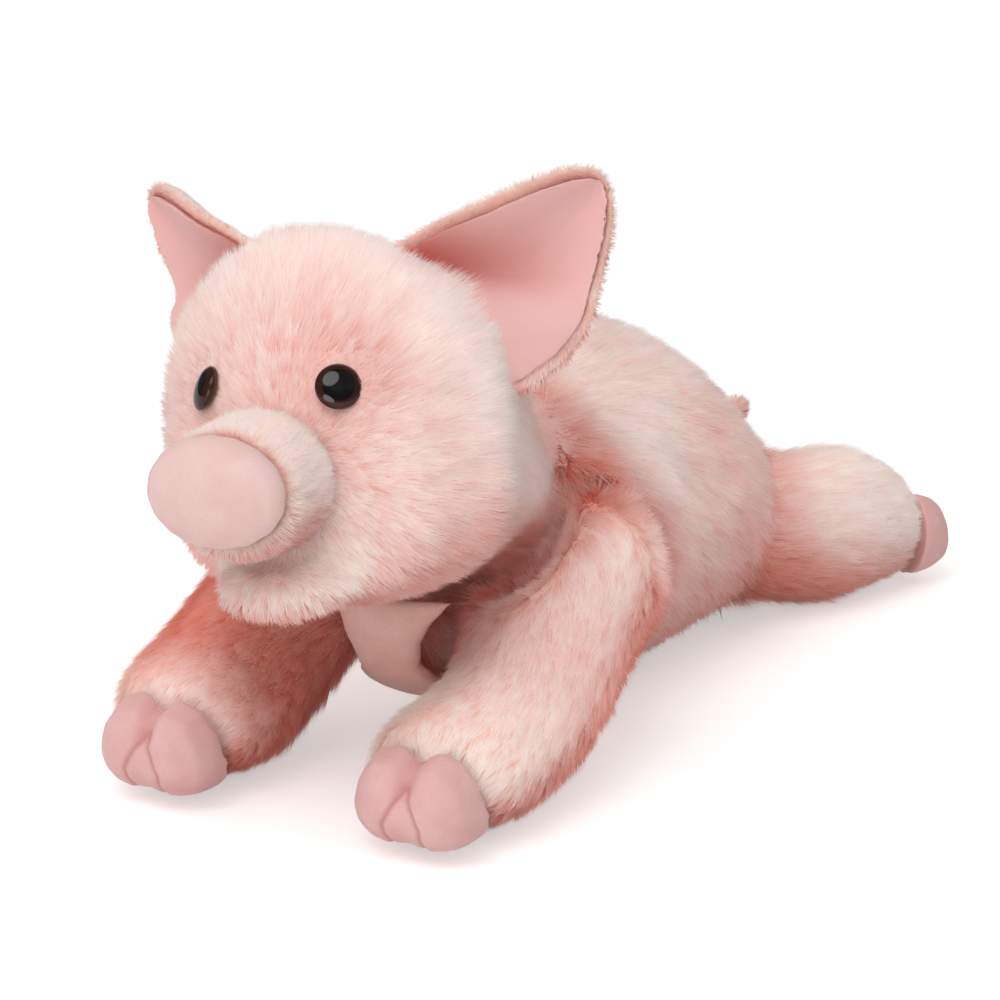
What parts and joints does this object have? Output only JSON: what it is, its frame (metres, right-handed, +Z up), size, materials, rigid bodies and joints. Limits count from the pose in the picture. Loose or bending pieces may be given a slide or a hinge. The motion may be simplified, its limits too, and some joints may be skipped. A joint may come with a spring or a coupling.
{
  "type": "plush pig",
  "caption": "Stuffed plush pig lying on its belly, with turning head, folding ears, curled tail and splaying legs that end in cloven velour hooves.",
  "frame": {"origin": "belly's rest point, where the torso lies flat on the floor", "axes": "+Z up, -Y towards the snout, +X towards the toy's left side"},
  "size_m": [0.1822, 0.3779, 0.2044],
  "materials": {
    "plush": "long silky pile",
    "velour": "short velour pile",
    "ear_velour": "short velour pile",
    "stuffing": "loose polyester fibre",
    "eye_plastic": "polished",
    "washer_plastic": "moulded, matt"
  },
  "bodies": {
    "torso": {"torso_plush": "plush", "chest_panel": "velour", "torso_stuffing": "stuffing"},
    "head": {"head_plush": "plush", "head_stuffing": "stuffing", "muzzle_plush": "plush", "snout_pad": "velour", "chin_plush": "plush", "eye_left": "eye_plastic", "eye_right": "eye_plastic", "eye_washer_left": "washer_plastic", "eye_washer_right": "washer_plastic"},
    "ear_left": {"ear_left_plush": "plush", "ear_left_lining": "ear_velour"},
    "ear_right": {"ear_right_plush": "plush", "ear_right_lining": "ear_velour"},
    "tail": {"tail_plush": "plush"},
    "front_left_leg": {"front_left_leg_plush": "plush", "front_left_leg_stuffing": "stuffing", "front_left_hoof_outer_toe": "velour", "front_left_hoof_inner_toe": "velour"},
    "front_right_leg": {"front_right_leg_plush": "plush", "front_right_leg_stuffing": "stuffing", "front_right_hoof_outer_toe": "velour", "front_right_hoof_inner_toe": "velour"},
    "rear_left_leg": {"rear_left_leg_plush": "plush", "rear_left_leg_stuffing": "stuffing", "rear_left_hoof_outer_toe": "velour", "rear_left_hoof_inner_toe": "velour"},
    "rear_right_leg": {"rear_right_leg_plush": "plush", "rear_right_leg_stuffing": "stuffing", "rear_right_hoof_outer_toe": "velour", "rear_right_hoof_inner_toe": "velour"}
  },
  "joints": [
    {"name": "neck_turn", "type": "hinge", "parent": "torso", "child": "head", "pos_m": [0.0035, -0.084, 0.092], "axis": [0, 0, 1], "range_deg": [-18, 18], "stiffness_Nm_per_rad": 0.35},
    {"name": "ear_left_fold", "type": "hinge", "parent": "head", "child": "ear_left", "pos_m": [0.0228, -0.14374, 0.18178], "axis": [0.6015, 0.3287, -0.7281], "range_deg": [-20, 20], "stiffness_Nm_per_rad": 0.05},
    {"name": "ear_right_fold", "type": "hinge", "parent": "head", "child": "ear_right", "pos_m": [-0.0412, -0.14374, 0.17221], "axis": [0.3624, -0.3287, 0.8722], "range_deg": [-20, 20], "stiffness_Nm_per_rad": 0.05},
    {"name": "tail_wag", "type": "hinge", "parent": "torso", "child": "tail", "pos_m": [0, 0.104, 0.046], "axis": [0, 0, 1], "range_deg": [-25, 25], "stiffness_Nm_per_rad": 0.01},
    {"name": "shoulder_left_splay", "type": "hinge", "parent": "torso", "child": "front_left_leg", "pos_m": [0.044, -0.072, 0.06], "axis": [0, 0, 1], "range_deg": [-3, 32], "stiffness_Nm_per_rad": 0.3},
    {"name": "shoulder_right_splay", "type": "hinge", "parent": "torso", "child": "front_right_leg", "pos_m": [-0.044, -0.072, 0.06], "axis": [0, 0, -1], "range_deg": [-3, 32], "stiffness_Nm_per_rad": 0.3},
    {"name": "hip_left_splay", "type": "hinge", "parent": "torso", "child": "rear_left_leg", "pos_m": [0.037, 0.07, 0.034], "axis": [0, 0, -1], "range_deg": [-18, 32], "stiffness_Nm_per_rad": 0.25},
    {"name": "hip_right_splay", "type": "hinge", "parent": "torso", "child": "rear_right_leg", "pos_m": [-0.037, 0.07, 0.034], "axis": [0, 0, 1], "range_deg": [-18, 32], "stiffness_Nm_per_rad": 0.25}
  ]
}
